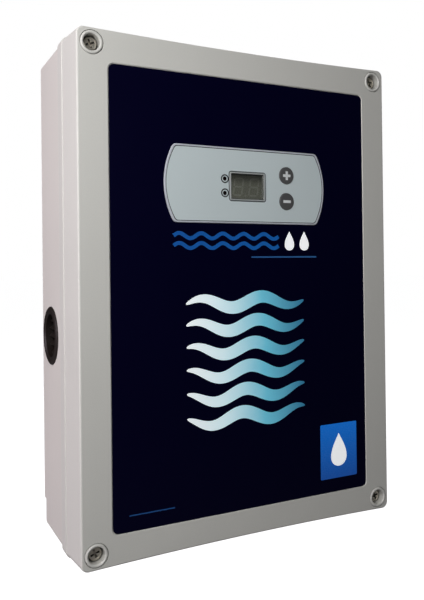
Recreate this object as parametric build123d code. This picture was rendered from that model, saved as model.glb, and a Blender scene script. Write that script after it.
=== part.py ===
from build123d import *
import math
import os

os.makedirs("parts", exist_ok=True)

# Wall-hung salt chlorine generator, millimetres.
# +X right, +Z up, +Y into the wall. The origin is the centre of the wall-hole
# pattern on the wall plane. Depths such as "back" and "front" are distances
# out from the wall, that is -y.

# ---------------------------------------------------------------- dimensions
DEPTH = 96.0                  # wall to front face
SEAM = 58.0                   # parting line between tub and lid
COLLAR = 68.0                 # front edge of the lid's rear collar
# Pairs are half width, half height.
LID_FRONT = (118.9, 166.95)   # at the front face
LID_MID = (120.8, 168.0)      # just in front of the collar
LID_REAR = (121.25, 168.45)   # collar
LID_ROOM = (116.7, 163.7)     # hollow of the lid
LID_REBATE = (118.4, 165.4)   # hollow of the collar
TUB = (119.9, 167.1)
SAG_TOP, SAG_BOTTOM = 1.8, 2.1  # the top and bottom edges bow inwards
WALL = 3.0
REAR_POCKET = 6.0             # depth of the pocket behind the tub's floor
FLOOR = 9.0                   # inner face of the floor
FLOOR_ROOT = FLOOR - 0.5      # pillars start inside the floor
RIB_HALF = 0.9                # half thickness of the stiffening ribs

TURRET = (109.3, 157.4)       # lid screw positions
TURRET_BORE_R = 7.62
TURRET_FLOOR = 81.5
COLUMN_R = 10.8               # tub columns around the inserts
BUSH_R = 7.3
BUSH_HOLE_R = 5.25
BUSH_FRONT = DEPTH + 0.6
HEAD_SEAT = 88.9              # under the lid screw heads
SCREW_R = 1.97                # M4
SCREW_HEAD_R = 4.7

# Sealing tongue: front edge, inset from the tub's inner wall, clearance round corners
TONGUE_FRONT = 62.0
TONGUE_INSET, TONGUE_CORNER_R = 2.4, 12.9
SHOULDER = 65.0               # lid face that presses on the gasket

WALL_HOLES = (90.0, 150.0)
WALL_HOLE_R = 2.75

LABEL = (197.0, 292.6)
LABEL_AT = (-0.15, -0.65)
LABEL_FLOOR = 95.2
PLATE_Z = 73.3                # centre height of the keypad plate
PLATE_HALF = (55.8, 25.7)     # straight part
PLATE_END = 62.5              # tip of the bowed ends
DISPLAY_AT = (-0.8, 72.9)
DISPLAY_FRAME = (27.9, 19.3)
DISPLAY_FLANGE = (31.6, 23.4)
DISPLAY_OPEN = (25.7, 17.5)
KEY_X = 30.7
KEY_Z = {"plus": 82.0, "minus": 63.7}
KEY_R = 5.95
LED_PLACES = [(-18.3, 77.7), (-18.3, 68.0)]

VENT_Y, VENT_Z = -27.2, -28.3
VENT_R = 20.2
VENT_OPEN_R = 15.0

BOARD_BACK = 17.0             # rear face of the power board
BOARD_THICK = 1.6
BOARD_TOP = BOARD_BACK + BOARD_THICK
DISP_BACK = 84.9              # rear face of the display board
DISP_TOP = DISP_BACK + BOARD_THICK
BOARD_PILLARS = [(x, z) for z in (12, 138) for x in (-92, 0, 92)]

SINK_AT = (60.0, -80.0)
SINK_BACK = 14.0
SINK_TOP = SINK_BACK + 4.0
SINK_PILLARS = [(SINK_AT[0] + dx, SINK_AT[1] + dz) for dz in (42, -42) for dx in (-33, 33)]
RECTIFIER_AT = (60.0, -55.0)
RECTIFIER_HEIGHT = 10.0

TRAFO_AT = (-48.0, -78.0)
TRAFO_R = 46.0

GLAND_Y = -27.0
GLAND_SEAT = -165.9           # z of the pads' lower faces
PAD_THICK = 5.0
GLANDS = {                    # x, thread radius, hexagon across flats, cable bore radius
    "sensor": (-60.0, 8.0, 20.0, 4.4),
    "cell": (0.0, 10.0, 24.0, 6.0),
    "mains": (60.0, 10.0, 24.0, 6.0),
}

SIDES = (-1, 1)
CORNERS = {
    "upper_left": (-TURRET[0], TURRET[1]),
    "upper_right": (TURRET[0], TURRET[1]),
    "lower_left": (-TURRET[0], -TURRET[1]),
    "lower_right": (TURRET[0], -TURRET[1]),
}
WALL_HOLE_PLACES = [(sx * WALL_HOLES[0], sz * WALL_HOLES[1]) for sx in SIDES for sz in SIDES]
DISP_BOSSES = [(sx * 53.0, PLATE_Z + sz * 17.5) for sx in SIDES for sz in SIDES]


# ------------------------------------------------------------------- helpers
def wall_plane(depth):
    return Plane.XZ.offset(depth)


def slab(sketch, back, front):
    return extrude(wall_plane(back) * sketch, amount=front - back)


def at(x, z, sketch):
    return Pos(x, z) * sketch


def rod(x, z, radius, back, front):
    return slab(at(x, z, Circle(radius)), back, front)


def brick(x, z, width, height, back, front, corner=0.0):
    """Block given by its centre and size."""
    sketch = RectangleRounded(width, height, corner) if corner else Rectangle(width, height)
    return slab(at(x, z, sketch), back, front)


def block(left, right, low, high, back, front, corner=0.0):
    """Block given by its limits."""
    return brick((left + right) / 2, (low + high) / 2, right - left, high - low,
                 back, front, corner)


def patch(centre, size, grow, corner):
    return at(*centre, RectangleRounded(size[0] + grow, size[1] + grow, corner))


def front_rim(shape):
    return shape.faces().sort_by(Axis.Y)[0].outer_wire().edges()


def rear_rim(shape):
    return shape.faces().sort_by(Axis.Y)[-1].outer_wire().edges()


def cut_slots(shape, x, z, length, width, back, front, angles=(0, 90)):
    for angle in angles:
        slot = Rot(0, 0, angle) * Rectangle(length, width)
        shape = shape - slab(at(x, z, slot), back, front)
    return shape


def save(name, *shapes):
    solids = [solid for shape in shapes for solid in shape.solids()]
    piece = solids[0] if len(solids) == 1 else Compound(solids)
    export_step(piece, f"parts/{name}.step")


def outline(half_size, corner, grow=0.0):
    """Case outline: a rectangle whose top and bottom edges bow inwards."""
    half_w, half_h = half_size[0] + grow, half_size[1] + grow
    with BuildSketch() as sketch:
        with BuildLine():
            Line((-half_w, -half_h), (-half_w, half_h))
            ThreePointArc((-half_w, half_h), (0, half_h - SAG_TOP), (half_w, half_h))
            Line((half_w, half_h), (half_w, -half_h))
            ThreePointArc((half_w, -half_h), (0, -half_h + SAG_BOTTOM), (-half_w, -half_h))
        make_face()
        fillet(sketch.vertices(), corner)
    return sketch.sketch


def seal_outline(inset, corner_r):
    """Outline inside the tub wall that passes inboard of the corner columns."""
    sketch = outline(TUB, 4.0, -WALL - inset)
    for x, z in CORNERS.values():
        sketch = sketch - at(x, z, Circle(corner_r))
    return sketch


def plate_outline(grow, corner):
    """Keypad plate with bowed left and right ends."""
    half_w, half_h, tip = PLATE_HALF[0] + grow, PLATE_HALF[1] + grow, PLATE_END + grow
    with BuildSketch() as sketch:
        with BuildLine():
            Line((-half_w, half_h), (half_w, half_h))
            ThreePointArc((half_w, half_h), (tip, 0), (half_w, -half_h))
            Line((half_w, -half_h), (-half_w, -half_h))
            ThreePointArc((-half_w, -half_h), (-tip, 0), (-half_w, half_h))
        make_face()
        fillet(sketch.vertices(), corner)
    return at(0, PLATE_Z, sketch.sketch)


def side_plane(side, x):
    """Plane through the vent axis, facing out of the left (-1) or right (1) wall."""
    return Plane((side * x, VENT_Y, VENT_Z), x_dir=(0, 1, 0), z_dir=(side, 0, 0))


def upright(x, low, high, sketch):
    """Extrusion along Z on a gland axis."""
    return extrude(Plane((x, GLAND_Y, low)) * sketch, amount=high - low)


# ------------------------------------------------------------ rear enclosure
def make_tub():
    tub = slab(outline(TUB, 3.6), 0, SEAM)
    tub = fillet(rear_rim(tub), 1.4)
    inner = outline(TUB, 2.4, -WALL)
    tub = tub - slab(inner, FLOOR, SEAM + 1)
    tub = tub - slab(inner, -1, REAR_POCKET)

    # stiffening ribs behind the floor
    rib_reach = TUB[0] - WALL + 0.05
    ribs = None
    for x in (-72, -24, 24, 72):
        rib = block(x - RIB_HALF, x + RIB_HALF, -161, 161, 1.2, REAR_POCKET)
        ribs = rib if ribs is None else ribs + rib
    for z in (-120, -40, 40, 120):
        ribs = ribs + block(-rib_reach, rib_reach, z - RIB_HALF, z + RIB_HALF, 1.2, REAR_POCKET)
    tub = tub + ribs

    # corner columns that carry the threaded inserts
    room = outline(TUB, 2.8, 0.6 - WALL)
    for x, z in CORNERS.values():
        tub = tub + slab(at(x, z, Circle(COLUMN_R)) & room, FLOOR_ROOT, SEAM - 1)

    # sealing tongue that runs inboard of the corner columns
    tongue = seal_outline(-0.05, 10.5) - seal_outline(TONGUE_INSET, TONGUE_CORNER_R)
    tub = tub + slab(tongue, 52, TONGUE_FRONT)

    # wall-hole bosses, transformer boss, pillars
    for x, z in WALL_HOLE_PLACES:
        tub = tub + rod(x, z, 7.0, 0, 12)
    tub = tub + rod(*TRAFO_AT, 9.0, 0.8, FLOOR) + rod(*TRAFO_AT, 7.0, FLOOR, 16)
    for x, z in BOARD_PILLARS:
        tub = tub + rod(x, z, 3.6, FLOOR_ROOT, BOARD_BACK)
    for x, z in SINK_PILLARS:
        tub = tub + rod(x, z, 3.6, FLOOR_ROOT, SINK_BACK)

    # thick flat pads where the glands pass the bottom wall
    for x, _, across_flats, _ in GLANDS.values():
        tub = tub + upright(x, GLAND_SEAT, GLAND_SEAT + PAD_THICK, Circle(across_flats * 0.62))

    # insert, wall, transformer and pillar holes
    for x, z in CORNERS.values():
        tub = tub - rod(x, z, 2.9, 47, 60) - rod(x, z, 2.2, 43, 48)
    for x, z in WALL_HOLE_PLACES:
        tub = tub - rod(x, z, WALL_HOLE_R, -1, 13)
    tub = tub - rod(*TRAFO_AT, 3.02, 2.0, 17)
    for x, z in BOARD_PILLARS:
        tub = tub - rod(x, z, 1.3, 10.0, 18)
    for x, z in SINK_PILLARS:
        tub = tub - rod(x, z, 1.3, 8.5, 15)

    # openings for glands and side vents
    for x, thread_r, _, _ in GLANDS.values():
        tub = tub - upright(x, -167.5, -159.5, Circle(thread_r + 0.2))
    for side in SIDES:
        tub = tub - extrude(side_plane(side, 112.0) * Circle(17.5), amount=12.0)

    # the rear rim stops short of the two lower corners
    for side in SIDES:
        left, right = sorted((side * 102.0, side * 125.0))
        tub = tub - block(left, right, -170.0, -148.0, -1.0, 5.9)
    return tub


save("rear_enclosure", make_tub())


# ----------------------------------------------------------------------- lid
def make_lid():
    body = loft([wall_plane(COLLAR) * outline(LID_MID, 5.0),
                 wall_plane(DEPTH) * outline(LID_FRONT, 4.8)])
    body = fillet(front_rim(body), 1.2)
    collar = slab(outline(LID_REAR, 5.2), SEAM, COLLAR)
    collar = fillet(front_rim(collar), 0.3)
    lid = body + collar

    # hollow, with a shoulder that meets the gasket
    lid = lid - slab(outline(LID_ROOM, 3.0), COLLAR, 93.0)
    shoulder_hole = seal_outline(TONGUE_INSET, TONGUE_CORNER_R)
    lid = lid - slab(shoulder_hole, SHOULDER - 0.01, COLLAR + 0.01)
    lid = lid - slab(outline(LID_REBATE, 3.4), SEAM - 1, SHOULDER)

    for x, z in CORNERS.values():
        lid = lid + rod(x, z, 8.9, 60.0, 94.0)
    # ribs inside: one below and one above the keypad, two upright ones below it
    for z in (36.0, 110.0):
        lid = lid + block(-116.8, 116.8, z - RIB_HALF, z + RIB_HALF, 89.0, 93.5)
    for x in (-70.0, 70.0):
        lid = lid + block(x - RIB_HALF, x + RIB_HALF, -163.0, 36.0, 89.0, 93.5)
    for x, z in DISP_BOSSES:
        lid = lid + rod(x, z, 3.0, DISP_TOP, 93.5)

    # label recess with a bevelled edge
    recess = patch(LABEL_AT, LABEL, 0.6, 3.9)
    lid = lid - slab(recess, LABEL_FLOOR, DEPTH + 1)
    bevel = loft([wall_plane(DEPTH - 0.45) * recess,
                  wall_plane(DEPTH + 0.05) * patch(LABEL_AT, LABEL, 1.6, 4.4)])
    lid = lid - bevel

    # turret bores: bush, screw shank, washer
    for x, z in CORNERS.values():
        lid = lid - rod(x, z, TURRET_BORE_R, TURRET_FLOOR, DEPTH + 1)
        lid = lid - rod(x, z, 2.5, 70.0, 82.0)
        lid = lid - rod(x, z, 4.6, 59.0, 75.6)
    for x, z in DISP_BOSSES:
        lid = lid - rod(x, z, 1.3, 80.0, 92.0)

    # openings for display, keys and lamps
    lid = lid - slab(patch(DISPLAY_AT, DISPLAY_FRAME, 0.4, 1.7), 90.0, 97.0)
    for z in KEY_Z.values():
        lid = lid - rod(KEY_X, z, KEY_R + 0.35, 90.0, 97.0)
    for x, z in LED_PLACES:
        lid = lid - rod(x, z, 1.75, 90.0, 97.0)
    return lid


save("lid", make_lid())

# gasket cord between the tongue and the lid's shoulder
save("lid_gasket",
     slab(seal_outline(0.25, 10.85) - seal_outline(2.15, 12.6), TONGUE_FRONT, SHOULDER))


# ------------------------------------------------- screws, bushes and inserts
def make_bush(x, z):
    bush = rod(x, z, BUSH_R, TURRET_FLOOR, BUSH_FRONT)
    bush = fillet(front_rim(bush), 1.1)
    bush = bush + rod(x, z, TURRET_BORE_R - 0.01, TURRET_FLOOR, 84.5)
    bush = bush - rod(x, z, BUSH_HOLE_R, HEAD_SEAT, DEPTH + 1) - rod(x, z, 2.4, 81.0, DEPTH)
    # ease the mouth of the hole with a cone that opens towards the front
    mouth_back, mouth_r = DEPTH - 0.1, BUSH_HOLE_R + 0.7
    cone = loft([wall_plane(mouth_back) * at(x, z, Circle(BUSH_HOLE_R)),
                 wall_plane(BUSH_FRONT) * at(x, z, Circle(mouth_r))])
    kept = rod(x, z, BUSH_HOLE_R + 0.8, mouth_back, BUSH_FRONT) - cone
    return bush - (rod(x, z, mouth_r, mouth_back, DEPTH + 1) - kept)


def make_insert(x, z):
    # sleeve on a core, with a waist round the middle
    insert = rod(x, z, 2.88, 47.0, 57.0) + rod(x, z, 2.6, 47.0, 57.0)
    insert = insert - rod(x, z, 3.4, 50.6, 51.6) + rod(x, z, 2.6, 50.5, 51.7)
    return insert - rod(x, z, SCREW_R + 0.05, 46.0, 58.0)


def make_lid_screw(x, z):
    head = rod(x, z, SCREW_HEAD_R, HEAD_SEAT, HEAD_SEAT + 3.5)
    head = fillet(front_rim(head), 1.2)
    head = cut_slots(head, x, z, 5.8, 1.3, HEAD_SEAT + 1.5, HEAD_SEAT + 5, angles=(20, 110))
    shank = rod(x, z, SCREW_R, 49.6, HEAD_SEAT + 0.1)
    tip = loft([wall_plane(49.7) * at(x, z, Circle(SCREW_R)),
                wall_plane(49.0) * at(x, z, Circle(1.3))])
    return head + shank + tip


save("screw_bushes", *[make_bush(x, z) for x, z in CORNERS.values()])
save("screw_inserts", *[make_insert(x, z) for x, z in CORNERS.values()])
for corner_name, (x, z) in CORNERS.items():
    save("lid_screw_" + corner_name, make_lid_screw(x, z))
    save("screw_washer_" + corner_name,
         rod(x, z, 4.2, 65.5, 66.5) - rod(x, z, SCREW_R + 0.05, 65.0, 67.0))


# --------------------------------------------------------- label and keypad
def make_label():
    label = slab(patch(LABEL_AT, LABEL, 0, 3.6), LABEL_FLOOR, LABEL_FLOOR + 0.5)
    return label - slab(plate_outline(0.1, 4.1), 95.0, 97.0)


def make_bezel():
    bezel = slab(plate_outline(0.0, 4.0), LABEL_FLOOR, 96.7)
    bezel = chamfer(front_rim(bezel), 0.35)
    return bezel - slab(plate_outline(-1.1, 3.0), 95.0, 98.0)


def make_overlay():
    overlay = slab(plate_outline(-1.55, 2.7), LABEL_FLOOR, 96.4)
    overlay = overlay - slab(patch(DISPLAY_AT, DISPLAY_FRAME, 0.5, 1.7), 95.0, 98.0)
    for z in KEY_Z.values():
        overlay = overlay - rod(KEY_X, z, KEY_R + 0.2, 95.0, 98.0)
    for x, z in LED_PLACES:
        overlay = overlay - rod(x, z, 1.55, 95.0, 98.0)
    return overlay


def make_display_frame():
    frame = slab(patch(DISPLAY_AT, DISPLAY_FRAME, 0, 1.5), 92.0, 96.7)
    frame = fillet(front_rim(frame), 0.5)
    frame = frame + slab(patch(DISPLAY_AT, DISPLAY_FLANGE, 0, 1.5), 91.6, 92.98)
    return frame - slab(patch(DISPLAY_AT, DISPLAY_OPEN, 0, 0.8), 90.0, 98.0)


def make_digit_module():
    module = brick(*DISPLAY_AT, 25.2, 16.0, DISP_TOP, 94.4, 0.8)
    return chamfer(front_rim(module), 0.3)


def make_led(x, z):
    led = rod(x, z, 1.5, 92.2, 96.4)
    led = fillet(front_rim(led), 0.5)
    led = led + rod(x, z, 1.62, 91.6, 92.3)
    for side in SIDES:
        led = led + rod(x + side * 0.8, z, 0.25, DISP_TOP, 91.7)
    return led


def make_key(z):
    key = rod(KEY_X, z, KEY_R, 92.3, 96.95)
    key = fillet(front_rim(key), 0.6)
    key = key + rod(KEY_X, z, KEY_R + 1.1, 91.8, 92.85)
    return key + rod(KEY_X, z, 2.6, 91.3, 92.0)


save("front_label", make_label())
save("keypad_bezel", make_bezel())
save("keypad_overlay", make_overlay())
save("display_frame", make_display_frame())
save("display_window", slab(patch(DISPLAY_AT, DISPLAY_OPEN, -0.04, 0.8), 94.9, 96.25))
save("digit_module", make_digit_module())
save("status_leds", *[make_led(x, z) for x, z in LED_PLACES])
for key_name, z in KEY_Z.items():
    save(key_name + "_key", make_key(z))
    save(key_name + "_plunger", rod(KEY_X, z, 1.75, 89.0, 91.3))


# ------------------------------------------------------------- display board
def make_display_board():
    board = brick(0, PLATE_Z, 116.0, 46.0, DISP_BACK, DISP_TOP, 2.0)
    for x, z in DISP_BOSSES:
        board = board - rod(x, z, 1.6, 80.0, 90.0)
    return board


def make_display_screw(x, z):
    head = rod(x, z, 2.8, 82.7, DISP_BACK)
    head = fillet(rear_rim(head), 0.8)
    head = cut_slots(head, x, z, 3.4, 0.7, 82.0, 83.6)
    return head + rod(x, z, 1.25, DISP_BACK - 0.1, 91.0)


def make_key_switch(z):
    switch = brick(KEY_X, z, 6.2, 6.2, DISP_TOP, 90.0)
    switch = chamfer(front_rim(switch), 0.3)
    return switch - rod(KEY_X, z, 1.8, 88.2, 91.0)


def make_controller_chip():
    # square package behind the board, with ten legs on each side
    x, z = 2.0, 80.0
    legs_back = DISP_BACK - 0.5
    chip = brick(x, z, 12.0, 12.0, DISP_BACK - 1.9, legs_back)
    for i in range(10):
        offset = i - 4.5
        chip = chip + brick(x + offset, z, 0.4, 14.4, legs_back, DISP_BACK)
        chip = chip + brick(x, z + offset, 14.4, 0.4, legs_back, DISP_BACK)
    return chip


save("display_board", make_display_board())
save("display_board_screws", *[make_display_screw(x, z) for x, z in DISP_BOSSES])
save("key_switches", *[make_key_switch(z) for z in KEY_Z.values()])
save("controller_chip", make_controller_chip())

# ---------------------------------------------------- ribbon and connectors
HEADER_X = -36.0
LID_HEADER_Z, BASE_HEADER_Z = 62.0, 98.0
PIN_PITCH = 2.54
RIBBON_HALF_THICK = 0.43
RIBBON_WIDTH = 16.8
RIBBON_SEAT = 11.85           # ribbon centre, measured out from the header's board


def reach(base, facing, near, far):
    """Back and front of a span above a board face; facing 1 is front, -1 is the wall."""
    return sorted((base + facing * near, base + facing * far))


def pin_places(x, z):
    return [(x + (i - 3) * PIN_PITCH, z + side * PIN_PITCH / 2)
            for i in range(7) for side in SIDES]


def box_header(z, base, facing):
    """Shrouded two-row pin header."""
    x = HEADER_X
    header = brick(x, z, 22.0, 8.8, *reach(base, facing, 0, 9.0))
    header = header - brick(x, z, 19.2, 6.4, *reach(base, facing, 2.5, 10.0))
    for pin_x, pin_z in pin_places(x, z):
        header = header + brick(pin_x, pin_z, 0.64, 0.64, *reach(base, facing, 2.4, 8.0))
    return header


def ribbon_socket(z, base, facing):
    """Socket 0.4 clear of the header's floor, with a clamp bar over the ribbon."""
    x = HEADER_X
    socket = brick(x, z, 18.6, 5.9, *reach(base, facing, 2.9, 11.4))
    for pin_x, pin_z in pin_places(x, z):
        socket = socket - brick(pin_x, pin_z, 1.0, 1.0, *reach(base, facing, 2.0, 8.6))
    clamp = brick(x, z, 18.6, 5.9, *reach(base, facing, 12.3, 14.0))
    gap = reach(base, facing, 11.3, 12.4)
    ends = brick(x - 8.9, z, 0.8, 5.9, *gap) + brick(x + 8.9, z, 0.8, 5.9, *gap)
    return socket + clamp + ends


def catmull_rom(points, steps=10):
    """Smooth curve through the points, as a list of closer points."""
    curve = []
    for i in range(len(points) - 1):
        before, start, end = points[max(i - 1, 0)], points[i], points[i + 1]
        after = points[min(i + 2, len(points) - 1)]
        for step in range(steps):
            t = step / steps
            curve.append(tuple(
                0.5 * (2 * p1 + (-p0 + p2) * t
                       + (2 * p0 - 5 * p1 + 4 * p2 - p3) * t * t
                       + (-p0 + 3 * p1 - 3 * p2 + p3) * t ** 3)
                for p0, p1, p2, p3 in zip(before, start, end, after)))
    curve.append(points[-1])
    return curve


def make_ribbon():
    # leaves the upper-layer socket downwards, loops, and enters the lower one
    lid_depth = DISP_BACK - RIBBON_SEAT
    base_depth = BOARD_TOP + RIBBON_SEAT
    # columns: z from the header, depth from the ribbon's seat in the socket
    lid_points = [
        (2.4, 0.0), (-1.0, 0.0), (-3.2, 0.0), (-5.0, 0.0), (-11.5, -3.5),
        (-13.5, -14.0), (-4.0, -23.0), (10.0, -27.0), (17.0, -34.0),
    ]
    base_points = [(-12.0, 1.2), (-5.2, 0.0), (-3.2, 0.0), (0.0, 0.0), (2.4, 0.0)]
    points = [(LID_HEADER_Z + dz, lid_depth + depth) for dz, depth in lid_points]
    points += [(BASE_HEADER_Z + dz, base_depth + depth) for dz, depth in base_points]
    centre_line = catmull_rom(points)

    # offset the centre line to both sides
    left, right = [], []
    for i, (z, depth) in enumerate(centre_line):
        z_before, depth_before = centre_line[max(i - 1, 0)]
        z_after, depth_after = centre_line[min(i + 1, len(centre_line) - 1)]
        run, rise = z_after - z_before, depth_after - depth_before
        length = math.hypot(run, rise)
        dz = rise / length * RIBBON_HALF_THICK
        dd = run / length * RIBBON_HALF_THICK
        left.append((z - dz, depth + dd))
        right.append((z + dz, depth - dd))
    profile = left + right[::-1]
    with BuildSketch(Plane.YZ.offset(HEADER_X - RIBBON_WIDTH / 2)) as section:
        with BuildLine():
            Polyline(*[(-depth, z) for z, depth in profile], close=True)
        make_face()
    return extrude(section.sketch, amount=RIBBON_WIDTH)


save("display_header", box_header(LID_HEADER_Z, DISP_BACK, -1))
save("ribbon_header", box_header(BASE_HEADER_Z, BOARD_TOP, 1))
save("ribbon_sockets", ribbon_socket(LID_HEADER_Z, DISP_BACK, -1),
     ribbon_socket(BASE_HEADER_Z, BOARD_TOP, 1))
save("ribbon_cable", make_ribbon())


# --------------------------------------------------------------- power board
def make_power_board():
    board = block(-98.0, 98.0, 5.0, 145.0, BOARD_BACK, BOARD_TOP, 3.0)
    for x, z in BOARD_PILLARS:
        board = board - rod(x, z, 1.8, 16.0, 20.0)
    return board


def m3_screw(x, z, seat, length=6.5):
    head = rod(x, z, 2.9, seat, seat + 2.2)
    head = fillet(front_rim(head), 0.8)
    head = cut_slots(head, x, z, 3.6, 0.8, seat + 1.3, seat + 3)
    return head + rod(x, z, 1.25, seat - length, seat + 0.1)


TERMINAL_LOW = 6.5            # z of the strips' lower sides
TERMINALS = {                 # left edge, ways, pitch, size in z, height
    "mains": (20.0, 3, 9.5, 14.0, 18.0),
    "cell": (58.0, 2, 13.0, 16.0, 22.0),
    "sensor": (-84.0, 6, 5.0, 9.0, 11.0),
}


def make_terminal(left, ways, pitch, size, height):
    """Strip with screw wells in the front and cable mouths in the lower side."""
    strip = block(left, left + ways * pitch, TERMINAL_LOW, TERMINAL_LOW + size,
                  BOARD_TOP, BOARD_TOP + height)
    front_edges = strip.edges().filter_by(Axis.X).sort_by(Axis.Y)[:2]
    strip = chamfer(front_edges, min(2.0, height * 0.14))
    screws = []
    screw_r = pitch * 0.30
    for i in range(ways):
        x, z = left + pitch * (i + 0.5), TERMINAL_LOW + size * 0.52
        strip = strip - rod(x, z, screw_r + 0.12, BOARD_TOP + height * 0.55,
                            BOARD_TOP + height + 1)
        mouth_plane = Plane((x, -(BOARD_TOP + height * 0.28), TERMINAL_LOW - 0.5),
                            x_dir=(1, 0, 0), z_dir=(0, 0, 1))
        strip = strip - extrude(mouth_plane * Rectangle(pitch * 0.62, height * 0.30),
                                amount=size * 0.72)
        screw = rod(x, z, screw_r, BOARD_TOP + height * 0.58, BOARD_TOP + height * 0.86)
        screws.append(cut_slots(screw, x, z, screw_r * 2.2, screw_r * 0.32,
                                BOARD_TOP + height * 0.74, BOARD_TOP + height, angles=(0,)))
    return strip, screws


def make_relay(left):
    low = 34.0
    relay = block(left, left + 30.0, low, low + 24.0, BOARD_TOP, BOARD_TOP + 24.0, 1.0)
    relay = fillet(front_rim(relay), 0.8)
    # square dimple in the lower left corner of the front
    return relay - block(left + 3, left + 6, low + 2, low + 5, BOARD_TOP + 23.4, BOARD_TOP + 25)


def make_capacitor(x, z):
    can = rod(x, z, 11.0, BOARD_TOP, BOARD_TOP + 32.0)
    can = fillet(front_rim(can), 0.9)
    groove = at(x, z, Circle(11.5)) - at(x, z, Circle(10.5))
    can = can - slab(groove, BOARD_TOP + 2.6, BOARD_TOP + 3.8)
    return cut_slots(can, x, z, 13.0, 0.5, BOARD_TOP + 31.7, BOARD_TOP + 33,
                     angles=(0, 60, 120))


def make_fuse_holder():
    holder = block(22.0, 52.0, 70.0, 80.0, BOARD_TOP, BOARD_TOP + 2.5, 0.8)
    for left in (25.0, 42.0):
        cut_left, cut_right = left - 1, left + 7.0
        clip = block(left, left + 6.0, 71.0, 79.0, BOARD_TOP + 2.4, BOARD_TOP + 10.0)
        clip = clip - block(cut_left, cut_right, 71.7, 78.3, BOARD_TOP + 3.2, BOARD_TOP + 7.6)
        clip = clip - block(cut_left, cut_right, 73.0, 77.0, BOARD_TOP + 7.0, BOARD_TOP + 12.0)
        holder = holder + clip
    return holder


def make_fuse():
    def along_x(left, radius, length):
        plane = Plane((left, -(BOARD_TOP + 5.9), 75.0), z_dir=(1, 0, 0))
        return extrude(plane * Circle(radius), amount=length)

    end_caps = along_x(27.0, 2.6, 5.0) + along_x(42.0, 2.6, 5.0)
    return along_x(27.0, 2.3, 20.0) + end_caps


save("power_board", make_power_board())
save("m3_screws",
     *[m3_screw(x, z, BOARD_TOP) for x, z in BOARD_PILLARS],
     *[m3_screw(x, z, SINK_TOP) for x, z in SINK_PILLARS],
     m3_screw(*RECTIFIER_AT, SINK_TOP + RECTIFIER_HEIGHT, 13.5))
terminal_screws = []
for terminal_name, sizes in TERMINALS.items():
    strip, strip_screws = make_terminal(*sizes)
    save(terminal_name + "_terminal_block", strip)
    terminal_screws += strip_screws
save("terminal_screws", *terminal_screws)
save("polarity_relays", make_relay(30.0), make_relay(66.0))
save("filter_capacitors", make_capacitor(-76.0, 52.0), make_capacitor(-50.0, 44.0))
save("fuse_holder", make_fuse_holder())
save("mains_fuse", make_fuse())


# ------------------------------------------------ heat sink and rectifier
def make_heat_sink():
    sink = brick(*SINK_AT, 76.0, 94.0, SINK_BACK, SINK_TOP)
    for i in range(9):
        x = 25.6 + i * 8.6
        sink = sink + block(x - 0.9, x + 0.9, -116.0, -76.0, SINK_TOP - 0.1, 42.0)
    for x, z in SINK_PILLARS:
        sink = sink - rod(x, z, 1.8, SINK_BACK - 1, SINK_TOP + 1)
    return sink - rod(*RECTIFIER_AT, 1.3, SINK_BACK - 1, SINK_TOP + 1)


def make_rectifier():
    x, z = RECTIFIER_AT
    front = SINK_TOP + RECTIFIER_HEIGHT
    body = brick(x, z, 28.0, 28.0, SINK_TOP, front, 1.2)
    body = chamfer(front_rim(body), 0.8)
    body = body - rod(x, z, 1.8, 10, 40)
    # four blade terminals
    for dx in (-9.0, 9.0):
        for dz in (-9.0, 9.0):
            body = body + brick(x + dx, z + dz, 0.8, 6.3, front - 0.1, front + 8.0)
    return body


save("heat_sink", make_heat_sink())
save("bridge_rectifier", make_rectifier())

# ----------------------------------------------------------- transformer
COIL_BACK, COIL_FRONT = 11.0, 51.0
PAD_FRONT = COIL_FRONT + 2.0
WASHER_FRONT = PAD_FRONT + 1.6


def trafo_rod(radius, back, front):
    return rod(*TRAFO_AT, radius, back, front)


def make_coil():
    coil = trafo_rod(TRAFO_R, COIL_BACK, COIL_FRONT)
    coil = coil - trafo_rod(17.0, COIL_BACK - 1, COIL_FRONT + 1)
    return fillet(list(coil.edges().filter_by(GeomType.CIRCLE)), 7.5)


def make_trafo_washer():
    washer = trafo_rod(36.0, PAD_FRONT, WASHER_FRONT)
    groove = trafo_rod(29.0, 54.0, 55.0) - trafo_rod(15.0, 53.5, 55.5)
    return washer - groove - trafo_rod(3.2, 52.0, 56.0)


def make_trafo_bolt():
    head_front = WASHER_FRONT + 4.2
    head = slab(at(*TRAFO_AT, RegularPolygon(5.77, 6)), WASHER_FRONT, head_front)
    head = head & trafo_rod(5.6, WASHER_FRONT, head_front)
    return head + trafo_rod(2.97, 3.0, WASHER_FRONT + 0.1)


LEADS = [                     # start x from the coil axis, end x, end z
    (-22.0, -88.0, 30.0),
    (-16.0, -82.0, 26.0),
    (12.0, -12.0, 28.0),
    (18.0, -6.0, 32.0),
]


def make_lead(dx, end_x, end_z):
    """Wire from just outside the coil's upper side to the power board."""
    x = TRAFO_AT[0] + dx
    z = TRAFO_AT[1] + math.sqrt((TRAFO_R + 1.6) ** 2 - dx * dx)
    with BuildPart() as lead:
        with BuildLine() as path:
            FilletPolyline((x, -38.0, z), (x, -40.0, z + 12.0), (end_x, -40.0, end_z),
                           (end_x, -(BOARD_TOP + 0.05), end_z), radius=5.0)
        with BuildSketch(Plane(origin=path.line @ 0, z_dir=path.line % 0)):
            Circle(1.15)
        sweep()
    return lead.part


save("toroidal_transformer", make_coil())
save("transformer_pads",
     trafo_rod(40.0, FLOOR, COIL_BACK) - trafo_rod(8.0, 8.0, 12.0),
     trafo_rod(38.0, COIL_FRONT, PAD_FRONT) - trafo_rod(8.0, 50.0, 54.0))
save("transformer_washer", make_trafo_washer())
save("transformer_bolt", make_trafo_bolt())
save("transformer_leads", *[make_lead(*lead) for lead in LEADS])

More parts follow.
